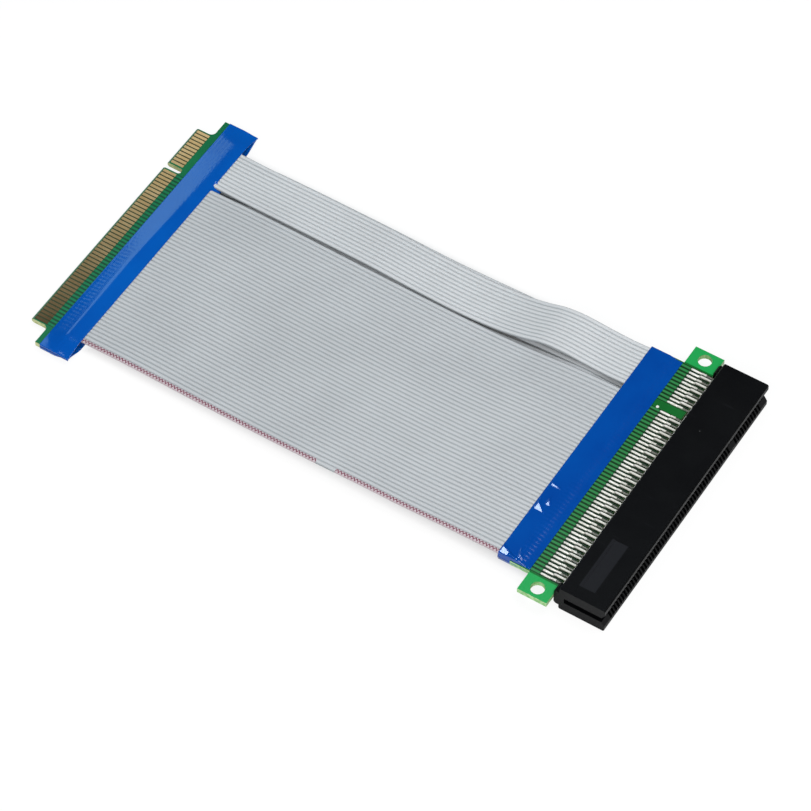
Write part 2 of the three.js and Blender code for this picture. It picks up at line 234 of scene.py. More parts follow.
def tapeMaterial():
    # Glossy blue insulating film: deep colour, sharp highlights softened by its fine calendered skin
    material, tree = newMaterial("blueInsulatingFilm")
    place = node(tree, "ShaderNodeTexCoord").outputs["Object"]
    cloud = node(tree, "ShaderNodeTexNoise", {
        "Vector": place, "Scale": 60.0, "Detail": 3.0, "Roughness": 0.55})
    plain = ramp(tree, cloud.outputs["Fac"], [(0.3, hexColor("#00429A")), (0.7, hexColor("#004DA6"))])
    # The sheets over the card edge are a little brighter than those over the socket board
    bright = ramp(tree, cloud.outputs["Fac"], [(0.3, hexColor("#0050AC")), (0.7, hexColor("#005AB8"))])
    side = mathNode(tree, "LESS_THAN", node(tree, "ShaderNodeSeparateXYZ", {0: place}).outputs["X"], 0.0)
    tint = mixColor(tree, side, plain, bright)
    wave = node(tree, "ShaderNodeTexNoise", {"Vector": place, "Scale": 240.0, "Detail": 2.0})
    bump = node(tree, "ShaderNodeBump", {
        "Strength": 0.15, "Distance": 0.00004, "Height": wave.outputs["Fac"]})
    film = node(tree, "ShaderNodeBsdfPrincipled", {
        "Base Color": tint, "Roughness": 0.12, "IOR": 1.5, "Normal": bump.outputs["Normal"],
        "Coat Weight": 0.3, "Coat Roughness": 0.04, "Coat IOR": 1.5,
    })
    finishMaterial(tree, film.outputs["BSDF"])
    return material


edgeLaminate = {
    "mask": "#00663A", "maskLight": "#006E40", "trace": "#087548", "traceGap": "#004426", "padGap": "#2C3A1C",
    "core": "#A8B070", "coreLight": "#C9CF98", "plating": "#D0A565",
    "middle": edgeMiddle, "end": edgeX[1],
    "rowsMiddle": rowMiddle + edgeShift, "keyAt": keyMiddle + edgeShift,
    "stripeFrom": contactPlace(1) + edgeShift + grid["pitch"] / 2,
    "stripedBands": [(longY[0] + edgeShift, longY[1] + edgeShift, edgeX[0] + 4.6, edgeX[1])],
    "bareBands": [],
    "padZone": (edgeX[0] + 0.6, edgeX[0] + 4.75),
}
socketLaminate = {
    "mask": "#00611F", "maskLight": "#066A26", "trace": "#2E8246", "traceGap": "#02360F", "padGap": "#03280F",
    "core": "#7CB66A", "coreLight": "#B9DCA0", "plating": "#9A988E", "bareMask": "#18A24E",
    "middle": socketMiddle, "end": socketBoardEnd,
    "rowsMiddle": rowMiddle, "keyAt": keyMiddle,
    "stripeFrom": contactPlace(1) + grid["pitch"] / 2,
    "stripedBands": [(*longY, ribbonX[1], housingX[0]), (*shortY, ribbonX[1], housingX[0])],
    "bareBands": [(-60.0, rowsY[0]), (rowsY[1], 60.0)],      # out past both ends of the board
    "padZone": (tabFront + 2.5, housingX[0]),
}


def laminateMaterial(name, settings):
    # Glass-epoxy board under green solder mask: traces show as lighter and darker stripes, and the cut
    # side faces show the bare yellow-green core
    material, tree = newMaterial(name)
    place = node(tree, "ShaderNodeTexCoord").outputs["Object"]
    parts = node(tree, "ShaderNodeSeparateXYZ", {0: place}).outputs
    along = mathNode(tree, "SUBTRACT", parts["Y"], settings["stripeFrom"] * mm)
    stripes = mathNode(tree, "PINGPONG", mathNode(tree, "DIVIDE", along, grid["pitch"] * mm), 0.5)
    tone = ramp(tree, mathNode(tree, "MULTIPLY", stripes, 2.0),
                [(0.38, hexColor(settings["traceGap"])), (0.56, hexColor(settings["trace"]))])
    striped = 0.0
    for low, high, left, right in settings["stripedBands"]:
        inY, inX = within(tree, parts["Y"], low, high), within(tree, parts["X"], left, right)
        striped = mathNode(tree, "MAXIMUM", striped, mathNode(tree, "MULTIPLY", inY, inX))
    cloud = node(tree, "ShaderNodeTexNoise", {"Vector": place, "Scale": 120.0, "Detail": 3.0})
    plain = ramp(tree, cloud.outputs["Fac"],
                 [(0.3, hexColor(settings["mask"])), (0.7, hexColor(settings["maskLight"]))])
    for low, high in settings["bareBands"]:
        # Beyond the copper the mask lies on bare laminate and looks brighter
        plain = mixColor(tree, within(tree, parts["Y"], low, high), plain, hexColor(settings["bareMask"]))
    top = mixColor(tree, striped, plain, tone)
    # Between the pads the mask lies in shade and flux, and looks much darker
    halfKey = 1.3 * grid["pitch"]
    rows = within(tree, parts["Y"], settings["rowsMiddle"] - gridEdge, settings["rowsMiddle"] + gridEdge)
    inKey = within(tree, parts["Y"], settings["keyAt"] - halfKey, settings["keyAt"] + halfKey)
    inRows = mathNode(tree, "MULTIPLY", rows, mathNode(tree, "SUBTRACT", 1.0, inKey))
    padded = mathNode(tree, "MULTIPLY", within(tree, parts["X"], *settings["padZone"]), inRows)
    top = mixColor(tree, padded, top, hexColor(settings["padGap"]))
    normal = node(tree, "ShaderNodeNewGeometry").outputs["True Normal"]
    lean = mathNode(tree, "ABSOLUTE", node(tree, "ShaderNodeSeparateXYZ", {0: normal}).outputs["Z"])
    side = mathNode(tree, "LESS_THAN", lean, 0.5)
    core = ramp(tree, node(tree, "ShaderNodeTexNoise", {"Vector": place, "Scale": 900.0}).outputs["Fac"],
                [(0.35, hexColor(settings["core"])), (0.7, hexColor(settings["coreLight"]))])
    color = mixColor(tree, side, top, core)
    grain = node(tree, "ShaderNodeTexNoise", {"Vector": place, "Scale": 1500.0, "Detail": 2.0})
    bump = node(tree, "ShaderNodeBump", {
        "Strength": 0.08, "Distance": 0.00005, "Height": grain.outputs["Fac"]})
    mask = node(tree, "ShaderNodeBsdfPrincipled", {
        "Base Color": color, "Roughness": 0.32, "IOR": 1.5, "Normal": bump.outputs["Normal"],
    })
    # What stands proud of the faces, or reaches past the board's end, is plated metal
    off = mathNode(tree, "ABSOLUTE", mathNode(tree, "SUBTRACT", parts["Z"], settings["middle"] * mm))
    proud = mathNode(tree, "GREATER_THAN", off, (board["thickness"] / 2 + 0.01) * mm)
    past = mathNode(tree, "GREATER_THAN", parts["X"], (settings["end"] + 0.02) * mm)
    plated = node(tree, "ShaderNodeBsdfPrincipled", {
        "Base Color": hexColor(settings["plating"]), "Metallic": 0.6, "Roughness": 0.34,
    })
    both = node(tree, "ShaderNodeMixShader", {
        0: mathNode(tree, "MAXIMUM", proud, past), 1: mask.outputs["BSDF"], 2: plated.outputs["BSDF"],
    })
    finishMaterial(tree, both.outputs[0])
    return material


# The paler patch at the shallow panel in the housing's top
panelShape = {"width": 4.6, "length": 17.0, "fromEnd": 3.6, "depth": 0.2}


def housingMaterial():
    # Moulded black glass-filled polyester: dull, fine-grained, with faint scuffs and a few dust specks
    material, tree = newMaterial("mouldedBlackPolyester")
    place = node(tree, "ShaderNodeTexCoord").outputs["Object"]
    scuff = node(tree, "ShaderNodeTexNoise", {
        "Vector": place, "Scale": 70.0, "Detail": 5.0, "Roughness": 0.65})
    tint = ramp(tree, scuff.outputs["Fac"], [(0.35, hexColor("#030305")), (0.72, hexColor("#08090B"))])
    stretch = node(tree, "ShaderNodeMapping", {
        "Vector": place, "Rotation": (0, 0, 0.7), "Scale": (1.0, 9.0, 1.0)})
    streak = node(tree, "ShaderNodeTexNoise", {"Vector": stretch.outputs[0], "Scale": 120.0, "Detail": 4.0})
    marks = ramp(tree, streak.outputs["Fac"], [(0.66, (0, 0, 0)), (0.78, (1, 1, 1))])
    scratched = mixColor(tree, mathNode(tree, "MULTIPLY", marks, 0.16), tint, hexColor("#34353A"))
    specks = node(tree, "ShaderNodeTexVoronoi", {"Vector": place, "Scale": 190.0}, feature="F1")
    dot = mathNode(tree, "LESS_THAN", specks.outputs["Distance"], 0.028)
    moulded = mixColor(tree, mathNode(tree, "MULTIPLY", dot, 0.35), scratched, hexColor("#8A8A8C"))
    # The shallow panel in the top is eroded: its floor is paler than the skin around it
    parts = node(tree, "ShaderNodeSeparateXYZ", {0: place}).outputs
    middle, half = sum(housingX) / 2, panelShape["width"] / 2
    low = housingY[0] + panelShape["fromEnd"]
    across = within(tree, parts["X"], middle - half, middle + half)
    along = within(tree, parts["Y"], low, low + panelShape["length"])
    panel = mathNode(tree, "MULTIPLY", mathNode(tree, "MULTIPLY", across, along),
                     mathNode(tree, "GREATER_THAN", parts["Z"], (housingZ[1] - panelShape["depth"]) * mm))
    dusty = mixColor(tree, panel, moulded, hexColor("#1B1C20"))
    grain = node(tree, "ShaderNodeTexNoise", {"Vector": place, "Scale": 3200.0, "Detail": 3.0})
    bump = node(tree, "ShaderNodeBump", {
        "Strength": 0.25, "Distance": 0.00006, "Height": grain.outputs["Fac"]})
    rough = node(tree, "ShaderNodeMapRange", {"Value": scuff.outputs["Fac"], "To Min": 0.38, "To Max": 0.55})
    plastic = node(tree, "ShaderNodeBsdfPrincipled", {
        "Base Color": dusty, "Roughness": rough.outputs[0], "IOR": 1.55, "Specular IOR Level": 0.12,
        "Normal": bump.outputs["Normal"],
    })
    finishMaterial(tree, plastic.outputs["BSDF"])
    return material


def goldMaterial():
    # Hard gold over nickel on copper: painted shade and reflection, dark brown at the near end and bright at the
    # far end, with fine wipe marks along each finger
    material, tree = newMaterial("hardGoldPlate")
    place = node(tree, "ShaderNodeTexCoord").outputs["Object"]
    cloud = node(tree, "ShaderNodeTexNoise", {"Vector": place, "Scale": 160.0, "Detail": 4.0})
    # Painted reflection and shade: bright gold at the far end, dark brown at the near end, blended along Y
    goldPaintedReflection = ramp(tree, cloud.outputs["Fac"], [(0.3, hexColor("#DDB87C")), (0.7, hexColor("#F0D09A"))])
    goldPaintedShade = ramp(tree, cloud.outputs["Fac"], [(0.3, hexColor("#46351A")), (0.7, hexColor("#5C4626"))])
    height = node(tree, "ShaderNodeSeparateXYZ", {0: place}).outputs["Y"]
    shadeToReflection = node(tree, "ShaderNodeMapRange", {"Value": height, "From Min": -0.042, "From Max": 0.046})
    tint = mixColor(tree, shadeToReflection.outputs[0], goldPaintedShade, goldPaintedReflection)
    stretch = node(tree, "ShaderNodeMapping", {"Vector": place, "Scale": (0.15, 1.0, 1.0)})
    wipe = node(tree, "ShaderNodeTexNoise", {"Vector": stretch.outputs[0], "Scale": 9000.0, "Detail": 2.0})
    rough = node(tree, "ShaderNodeMapRange", {"Value": wipe.outputs["Fac"], "To Min": 0.3, "To Max": 0.5})
    bump = node(tree, "ShaderNodeBump", {
        "Strength": 0.12, "Distance": 0.00003, "Height": wipe.outputs["Fac"]})
    gold = node(tree, "ShaderNodeBsdfPrincipled", {
        "Base Color": tint, "Metallic": 0.35, "Roughness": rough.outputs[0], "Normal": bump.outputs["Normal"],
    })
    finishMaterial(tree, gold.outputs["BSDF"])
    return material


def tinMaterial(name, dark, light, low, high):
    # Tin-plated tails and solder: bright, lightly clouded metal
    material, tree = newMaterial(name)
    place = node(tree, "ShaderNodeTexCoord").outputs["Object"]
    cloud = node(tree, "ShaderNodeTexNoise", {"Vector": place, "Scale": 500.0, "Detail": 3.0})
    tint = ramp(tree, cloud.outputs["Fac"], [(0.3, hexColor(dark)), (0.7, hexColor(light))])
    rough = node(tree, "ShaderNodeMapRange", {"Value": cloud.outputs["Fac"], "To Min": low, "To Max": high})
    tin = node(tree, "ShaderNodeBsdfPrincipled", {
        "Base Color": tint, "Metallic": 0.2, "Roughness": rough.outputs[0],
    })
    finishMaterial(tree, tin.outputs["BSDF"])
    return material


def inkMaterial():
    # Screened white ink, slightly uneven over the mask
    material, tree = newMaterial("screenedWhiteInk")
    place = node(tree, "ShaderNodeTexCoord").outputs["Object"]
    cloud = node(tree, "ShaderNodeTexNoise", {"Vector": place, "Scale": 1800.0, "Detail": 2.0})
    tint = ramp(tree, cloud.outputs["Fac"], [(0.3, hexColor("#DFE2DC")), (0.7, hexColor("#F6F7F3"))])
    ink = node(tree, "ShaderNodeBsdfPrincipled", {"Base Color": tint, "Roughness": 0.6, "IOR": 1.5})
    finishMaterial(tree, ink.outputs["BSDF"])
    return material


# Ribbons

# Hand-laid routes: share of the length, sideways shift of the upper and the lower ribbon, lift, dip of the
# far edge, and how much further than usual the upper ribbon stands off the lower one
routes = {
    "wide": [
        (0, 0, 1.5, 0, 0, 0), (0.15, -0.1, 1.4, 0.1, 0, 0), (0.3, -0.3, 1.4, 0, 0, 0),
        (0.47, -0.45, 1.3, 0.1, -0.5, 0), (0.66, -0.35, 0.9, 0.2, -1.5, 0), (0.76, -0.3, 1.5, 0, -1.1, 0),
        (0.88, -0.1, 1.7, 0.1, -0.3, 0), (1, 0, 1.6, 0, 0, 0),
    ],
    "narrow": [
        (0, -1.1, -0.8, 0, 0, 0), (0.05, -1.4, -0.8, 0, 0, 0), (0.13, -1.8, -0.8, 0.15, 0, 0),
        (0.24, -2, -0.8, 0.3, 0, 0.1), (0.4, -2.1, -0.9, 0.2, 0, 0.1), (0.52, -2.25, -0.8, -0.65, 0, 0),
        (0.62, -2.2, -0.5, -1.2, 0, 0), (0.7, -1.9, -0.5, -0.85, 0, 0.2), (0.75, -1.8, -0.7, 0.4, 0, 1.1),
        (0.79, -1.4, -0.8, 1.6, 0, 1.9), (0.83, -0.9, -0.8, 1.4, 0, 1.6), (0.89, -0.6, -0.8, 0.3, 0, 0.4),
        (0.95, -0.7, -0.8, 0, 0, 0), (1, -0.4, -0.8, 0, 0, 0),
    ],
}
ribbonShape = {
    "thickness": 0.9,
    "web": 0.22,          # half thickness of the web between two conductors
    "ridgeSteps": 8,      # faces across one conductor
    "roundness": 3.2,     # 2 would make each ridge a half circle, more makes it flatter
    "spacing": 1.25,      # from the upper to the lower ribbon
    "tapedEnd": 6.0,
}


def curveThrough(stations, share):
    # Cubic through the stations, with slopes from each one's neighbours
    last = len(stations) - 2
    i = max(k for k in range(last + 1) if stations[k][0] <= share or k == 0)
    before, a, b, after = (stations[min(max(k, 0), last + 1)] for k in (i - 1, i, i + 1, i + 2))
    length = b[0] - a[0]
    p = (share - a[0]) / length
    values = []
    for c in range(1, len(a)):
        slopeA = (b[c] - before[c]) / max(b[0] - before[0], 1e-6) * length
        slopeB = (after[c] - a[c]) / max(after[0] - a[0], 1e-6) * length
        values.append((2 * p ** 3 - 3 * p ** 2 + 1) * a[c] + (p ** 3 - 2 * p ** 2 + p) * slopeA
                      + (-2 * p ** 3 + 3 * p ** 2) * b[c] + (p ** 3 - p ** 2) * slopeB)
    return values


def routeAt(groupName, side, share):
    shiftTop, shiftBottom, lift, dip, standOff = curveThrough(routes[groupName], share)
    flat = ribbonShape["tapedEnd"] / ribbonLength
    free = ease(share, flat, 3 * flat) * ease(1 - share, flat, 3 * flat)
    climb = min(max((share - flat) / (1 - 2 * flat), 0), 1)
    top = mix(edgeMiddle, socketMiddle, climb) + layerOffset + lift * free
    apart = mix(2 * layerOffset, ribbonShape["spacing"] + standOff, free)
    # The sideways shift is taken up under the tapes
    slide = ease(share, 0, 0.75 * flat) * ease(1 - share, 0, 0.5 * flat)
    shift = (shiftTop if side > 0 else shiftBottom) * slide
    shift += mix(edgeShift, 0, ease(share, flat, 0.6))
    return shift, top if side > 0 else top - apart, dip * free


def ribbonPiece(groupName, layer, material):
    group = groups[groupName]
    side = 1 if layer == "top" else -1
    count = group["count"]
    width = count * grid["pitch"]
    nearEdge = contactPlace(group["first"]) - grid["pitch"] / 2
    firstAcross = (group["first"] - 1) * grid["pitch"]
    bm = bmesh.new()
    bmesh.ops.create_grid(bm, x_segments=group["stations"], y_segments=count * ribbonShape["ridgeSteps"],
                          size=0.5)
    upper = list(bm.verts)
    made = bmesh.ops.extrude_face_region(bm, geom=list(bm.faces))
    lower = [item for item in made["geom"] if isinstance(item, bmesh.types.BMVert)]
    uvLayer = bm.loops.layers.uv.new("layMap")
    shares = {}
    for verts, face in ((upper, -1), (lower, 1)):
        for vert in verts:
            shares[vert] = (vert.co.x + 0.5, vert.co.y + 0.5, face)
    for loopFace in bm.faces:
        for loop in loopFace.loops:
            u, v, _ = shares[loop.vert]
            loop[uvLayer].uv = (u * ribbonLength, v * width + firstAcross)
    routeCache = {}
    half = ribbonShape["thickness"] / 2
    for vert, (u, v, face) in shares.items():
        key = round(u, 5)
        if key not in routeCache:
            routeCache[key] = routeAt(groupName, side, u)
        shift, height, dip = routeCache[key]
        s = (v * count) % 1.0 - 0.5
        rise = max(ribbonShape["web"], half * (1 - (2 * abs(s)) ** ribbonShape["roundness"]) ** 0.5)
        across = nearEdge + v * width
        z = height + face * rise + dip * ease(across, nearEdge, nearEdge + width)
        vert.co = Vector((ribbonX[0] + u * ribbonLength, across + shift, z)) * mm
    bmesh.ops.recalc_face_normals(bm, faces=list(bm.faces))
    piece = meshObject(f"ribbon_{groupName}_{layer}_vinyl", bm, material)
    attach(piece, "root")
    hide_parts(f"ribbon_{groupName}_{layer}")


# Tapes

edgeTapeShape = {
    "onBoard": 4.2, "width": 9.2, "overhang": 0.2, "thickness": 0.09, "gap": 0.1,
    "columns": 64, "rows": 520,
    "imprint": 0.012,     # how far the stripes of the board print through
    # The crest where the film turns over: how far back, how much of the climb turns, how high it bows
    "crestNear": 4.9, "crestFar": 9.3, "turnNear": 0.12, "turnMiddle": 0.4, "turnFar": 0.5,
    "riseNear": 0.36, "riseFar": 0.16,
    # Where along the half length the crest and the turn change from their near to their far values
    "crestChange": (-0.35, 0.85), "turnChange": (-0.9, 0.3),
    "tongue": 2.2, "tongueHalf": 1.4, "sink": 1.3, "even": 0.96, "fold": 0.01,
}
socketTapeShape = {
    "onRibbon": 3.7, "width": 9.5, "overhang": 0.3, "thickness": 0.09, "gap": 0.1,
    "columns": 64, "rows": 460,
    "imprint": 0.022, "skirt": 1.5, "even": 0.95, "fold": 0.018,
    # Creases: corner from the sheet's edge and from the rows' middle, then planes as creases() takes them
    "creases": [
        # A forked fold at the near corner
        (0.1, -38.9, [(0.06, 0, 0.12), (0.95, -0.2, -0.34), (0.02, 0.9, 0.05)]),
        (2.6, -39.0, [(0.08, 0, 0.12), (0.6, -0.12, -0.5), (0.02, 0.5, 0.02)]),
        (5.0, -38.0, [(0.06, 0, 0.12), (0.5, -0.3, -0.2), (0.02, 0.5, 0.1)]),
        # A fang and a small spike further along
        (0.5, -22.4, [(0.05, 0, 0.12), (0.8, -0.28, -0.2), (0.02, 0.8, 0)]),
        (2.4, -19.8, [(0.05, 0, 0.12), (0.75, -0.5, -0.22), (0.02, 0.5, -0.04)]),
        (0.5, -13.9, [(0.04, 0, 0.12), (0.36, -0.1, -0.3), (0.01, 0.6, 0)]),
        # Specks at the far end
        (5.6, 35.2, [(0.03, 0, 0.12), (0.2, -0.2, -0.25), (0.01, 0.5, 0)]),
        (7.0, 33.8, [(0.02, 0, 0.12), (0.15, -0.3, -0.25), (0.01, 0.5, 0)]),
    ],
}


def stripeWave(y, shift):
    # 1 over each conductor and 0 between two, and flat at the key and beyond the rows
    position = (y - rowMiddle - shift) / grid["pitch"] + (contactCount + 1) / 2
    inLong = 0.5 < position < grid["longCount"] + 0.5
    inShort = grid["longCount"] + grid["keyCount"] + 0.5 < position < contactCount + 0.5
    if not (inLong or inShort):
        return 0.0
    return 0.5 + 0.5 * math.cos(2 * math.pi * (position - round(position)))


def creases(x, y, folds):
    # Flat-sided folds in the film. Each is a patch that leans evenly, cut off by steeper sides: a list of
    # planes, each a height at the patch's corner and its slopes in X and Y, of which the lowest counts.
    total = 0.0
    for cx, cy, planes in folds:
        dx, dy = x - cx, y - cy
        if abs(dx) > 6 or abs(dy) > 6:
            continue
        total += max(0.0, min(h + sx * dx + sy * dy for h, sx, sy in planes))
    return total


def sheetPiece(name, shape, xRange, yRange, side, heightAt, material, replaced):
    # A sheet laid out as a grid, draped by heightAt, and given its thickness away from what it covers
    bm = bmesh.new()
    bmesh.ops.create_grid(bm, x_segments=shape["columns"], y_segments=shape["rows"], size=0.5)
    for vert in bm.verts:
        x = mix(xRange[0], xRange[1], vert.co.x + 0.5)
        # The outermost rows crowd together where the sheet folds down over its ends
        v = 2 * vert.co.y
        crowded = abs(v) / shape["even"] * (1 - shape["fold"]) if abs(v) < shape["even"] else (
            1 - shape["fold"] * (1 - abs(v)) / (1 - shape["even"]))
        y = mix(yRange[0], yRange[1], (1 + math.copysign(crowded, v)) / 2)
        vert.co = Vector(heightAt(x, y)) * mm
    if side < 0:
        bmesh.ops.reverse_faces(bm, faces=list(bm.faces))
    piece = meshObject(name, bm, material)
    solid = piece.modifiers.new("film", "SOLIDIFY")
    solid.thickness = shape["thickness"] * mm
    solid.offset = 1.0
    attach(piece, "root")
    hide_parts(replaced)


def edgeTape(layer, material):
    side = 1 if layer == "top" else -1
    shape = edgeTapeShape
    boardBack = edgeX[1]
    front = boardBack - shape["onBoard"]
    back = front + shape["width"]
    yMiddle = rowMiddle + edgeShift
    boardSide = (span("edge_board", 1)[1] - span("edge_board", 1)[0]) / 2
    end = boardSide + shape["overhang"]
    inner = gridEdge + 0.2
    onBoard = board["thickness"] / 2 + shape["gap"]
    onRibbon = layerOffset + ribbonShape["thickness"] / 2 + shape["gap"]
    meet = board["thickness"] / 4

    def climb(x, share, width):
        # The film climbs the step straight and turns over it: a tight crest at the near end that opens out
        # into one long bow at the far end
        crest = mix(shape["crestNear"], shape["crestFar"], share)
        turn = mix(mix(shape["turnNear"], shape["turnMiddle"], width), shape["turnFar"], share)
        t = (x - front) / crest
        steps = 24
        total = reached = 0.0
        for k in range(steps):
            slope = 1 - ease((k + 0.5) / steps, 1 - turn, 1)
            total += slope
            if (k + 0.5) / steps < t:
                reached += min(1.0, (t - k / steps) * steps) * slope
        return reached / total

    climbCache = {}

    def heightAt(x, y):
        reach = abs(y - yMiddle)
        share = ease(y, *(yMiddle + end * change for change in shape["crestChange"]))
        width = ease(y, *(yMiddle + end * change for change in shape["turnChange"]))
        key = (round(x, 3), round(share, 3), round(width, 3))
        if key not in climbCache:
            climbCache[key] = climb(x, share, width)
        # Only the upper sheet bows up: the lower one lies pressed to what the cable lies on
        rise = mix(shape["riseNear"], shape["riseFar"], share) if side > 0 else 0
        overRibbon = mix(onBoard, onRibbon + rise, climbCache[key]) - rise * ease(x, boardBack + 0.6, back)
        beside = mix(onBoard, side * meet + 0.06, ease(x, boardBack, back))
        away = ease(reach, inner, end)
        rise = mix(overRibbon, beside, away)
        # Past the board's side both sheets fold to the middle and meet
        rise = mix(rise, 0.03, ease(reach, boardSide + 0.02, boardSide + 0.12))
        printed = shape["imprint"] * stripeWave(y, edgeShift)
        printed *= ease(x, front + 0.6, front + 1.2) * (1 - ease(x, boardBack - 1.2, boardBack - 0.4))
        rise += printed * (1 - away) * (1 - share)
        if side > 0:
            # Between the two ribbons the sheet reaches further out and sinks down to the lower ribbon
            aside = (y - keyMiddle - edgeShift) / shape["tongueHalf"]
            out = ease(x, back - 1, back) * math.exp(-aside ** 6)
            x += shape["tongue"] * out
            rise -= shape["sink"] * out
        return x, y, edgeMiddle + side * rise

    sheetPiece(f"edge_tape_{layer}_film", shape, (front, back), (yMiddle - end, yMiddle + end), side,
               heightAt, material, f"edge_tape_{layer}")


def socketTape(layer, material):
    side = 1 if layer == "top" else -1
    shape = socketTapeShape
    start, end = span("socket_tape_top", 0)
    half = gridEdge + shape["overhang"]
    onBoard = board["thickness"] / 2 + shape["gap"]
    onRibbon = layerOffset + ribbonShape["thickness"] / 2 + shape["gap"]

    def heightAt(x, y):
        reach = abs(y - rowMiddle)
        rise = mix(onRibbon, onBoard, ease(x, end - 4, end - 1))
        printed = ease(x, start + 4.2, start + 4.8) * ease(-x, 1.6 - end, 2.2 - end)
        rise += shape["imprint"] * stripeWave(y, 0) * printed
        if side > 0:
            rise += creases(x - start, y - rowMiddle, shape["creases"])
        # The sheet's side edges hang down past the ribbons
        past = max(0.0, reach - gridEdge + 0.25)
        skirt = shape["skirt"] * ease(past, 0.0, 0.55)
        rise -= skirt * (1 - 0.5 * ease(x, end - 3, end))
        return x, y, socketMiddle + side * rise

    sheetPiece(f"socket_tape_{layer}_film", shape, (start, end), (rowMiddle - half, rowMiddle + half), side,
               heightAt, material, f"socket_tape_{layer}")


# Gold fingers over the pads of the edge board

fingerShape = {"width": 0.88, "start": 0.68, "length": 4.04, "proud": 0.065, "sunk": 0.02, "bevel": 0.025}


def allPositions():
    for group in groups.values():
        for i in range(group["count"]):
            yield group["first"] + i, i


def boxInto(bm, low, high):
    made = bmesh.ops.create_cube(bm, size=1.0)
    size = Vector(high) - Vector(low)
    middle = (Vector(high) + Vector(low)) / 2
    bmesh.ops.scale(bm, vec=size * mm, verts=made["verts"])
    bmesh.ops.translate(bm, vec=middle * mm, verts=made["verts"])
    return made["verts"]


def goldFingers(material):
    shape = fingerShape
    bm = bmesh.new()
    half = board["thickness"] / 2
    for position, _ in allPositions():
        y = contactPlace(position) + edgeShift
        for side in (-1, 1):
            z = sorted((side * (half - shape["sunk"]), side * (half + shape["proud"])))
            low = (edgeX[0] + shape["start"], y - shape["width"] / 2, edgeMiddle + z[0])
            high = (edgeX[0] + shape["start"] + shape["length"], y + shape["width"] / 2, edgeMiddle + z[1])
            verts = boxInto(bm, low, high)
            edges = list({e for v in verts for e in v.link_edges})
            bmesh.ops.bevel(bm, geom=edges, offset=shape["bevel"] * mm, segments=1, profile=0.5,
                            affect="EDGES", material=-1)
    piece = meshObject("gold_fingers", bm, material, smooth=False)
    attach(piece, "root")


# Solder on the pads of the socket board, and the flattened tails and shoulders of the contacts

solderShape = {
    "width": 0.64, "length": 3.4, "height": 0.34, "from": 2.55,
    "lengthVaries": 0.03, "heightVaries": 0.15, "endPower": 0.35, "sidePower": 0.6,
}
tailShape = {
    "innerWidth": 0.48, "innerLength": 1.3, "outerWidth": 0.5, "thickness": 0.3, "step": 0.4,
    "shoulderWidth": 0.8, "shoulderLength": 0.85, "shoulderShift": -0.25, "shoulderDrop": 0.5,
    "lap": 0.05,          # how far the bars of a bend run into each other
}


def solderJoints(material):
    shape = solderShape
    bm = bmesh.new()
    half = board["thickness"] / 2
    for position, _ in allPositions():
        y = contactPlace(position)
        for side in (-1, 1):
            made = bmesh.ops.create_uvsphere(bm, u_segments=12, v_segments=6, radius=0.5)
            length = shape["length"] * (1.0 + shape["lengthVaries"] * math.sin(position * 5.1))
            height = shape["height"] * (1.0 + shape["heightVaries"] * math.sin(position * 2.3 + side))
            for vert in made["verts"]:
                # Squarer ends and a flat crown than a ball has
                vert.co.x = math.copysign(abs(vert.co.x * 2) ** shape["endPower"], vert.co.x) / 2
                vert.co.y = math.copysign(abs(vert.co.y * 2) ** shape["sidePower"], vert.co.y) / 2
            bmesh.ops.scale(bm, vec=Vector((length, shape["width"], height * 2)) * mm, verts=made["verts"])
            place = (tabFront + shape["from"] + length / 2, y, socketMiddle + side * half)
            bmesh.ops.translate(bm, vec=Vector(place) * mm, verts=made["verts"])
    piece = meshObject("solder_joints", bm, material)
    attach(piece, "root")


def bentBar(bm, path, y, width, thickness):
    # A flat bar along a line of points in X and Z
    for (x0, z0), (x1, z1) in zip(path, path[1:]):
        run = Vector((x1 - x0, 0, z1 - z0))
        half = Vector((run.length / 2 + tailShape["lap"], width / 2, thickness / 2))
        verts = boxInto(bm, -half, half)
        turn = Matrix.Rotation(-math.atan2(z1 - z0, x1 - x0), 3, "Y")
        bmesh.ops.rotate(bm, cent=(0, 0, 0), matrix=turn, verts=verts)
        middle = Vector(((x0 + x1) / 2, y, socketMiddle + (z0 + z1) / 2))
        bmesh.ops.translate(bm, vec=middle * mm, verts=verts)


def contactTails(material):
    shape = tailShape
    bm = bmesh.new()
    low = board["thickness"] / 2 + shape["thickness"] / 2
    soldered = tabFront + solderShape["from"] + solderShape["length"]
    for position, index in allPositions():
        y = contactPlace(position)
        for side in (-1, 1):
            if index % 2:
                high = low + shape["step"]
                path = [(soldered - 0.2, low), (soldered + 0.35, high), (housingFace, high)]
                bentBar(bm, [(x, side * z) for x, z in path], y, shape["outerWidth"], shape["thickness"])
                drop = high - shape["shoulderDrop"] / 2
                shoulder = [(housingFace - shape["shoulderLength"], side * drop), (housingFace, side * drop)]
                bentBar(bm, shoulder, y + shape["shoulderShift"], shape["shoulderWidth"],
                        shape["shoulderDrop"])
            else:
                path = [(soldered - 0.1, low), (soldered + shape["innerLength"], low + 0.02)]
                bentBar(bm, [(x, side * z) for x, z in path], y, shape["innerWidth"], shape["thickness"])
    piece = meshObject("contact_tails", bm, material, smooth=False)
    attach(piece, "root")


# A screened registration dot beside the last trace of the long group

dotShape = {"radius": 0.42, "thickness": 0.03, "fromTab": 1.35, "aside": 0.9}


def registrationDot(material):
    shape = dotShape
    bm = bmesh.new()
    made = bmesh.ops.create_cone(bm, cap_ends=True, segments=24, radius1=shape["radius"] * mm,
                                 radius2=shape["radius"] * mm, depth=shape["thickness"] * mm)
    place = (tabFront + shape["fromTab"], contactPlace(grid["longCount"]) + shape["aside"],
             socketMiddle + board["thickness"] / 2 + shape["thickness"] / 2)
    bmesh.ops.translate(bm, vec=Vector(place) * mm, verts=made["verts"])
    piece = meshObject("registration_dot", bm, material, smooth=False)
    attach(piece, "root")


# Camera and light

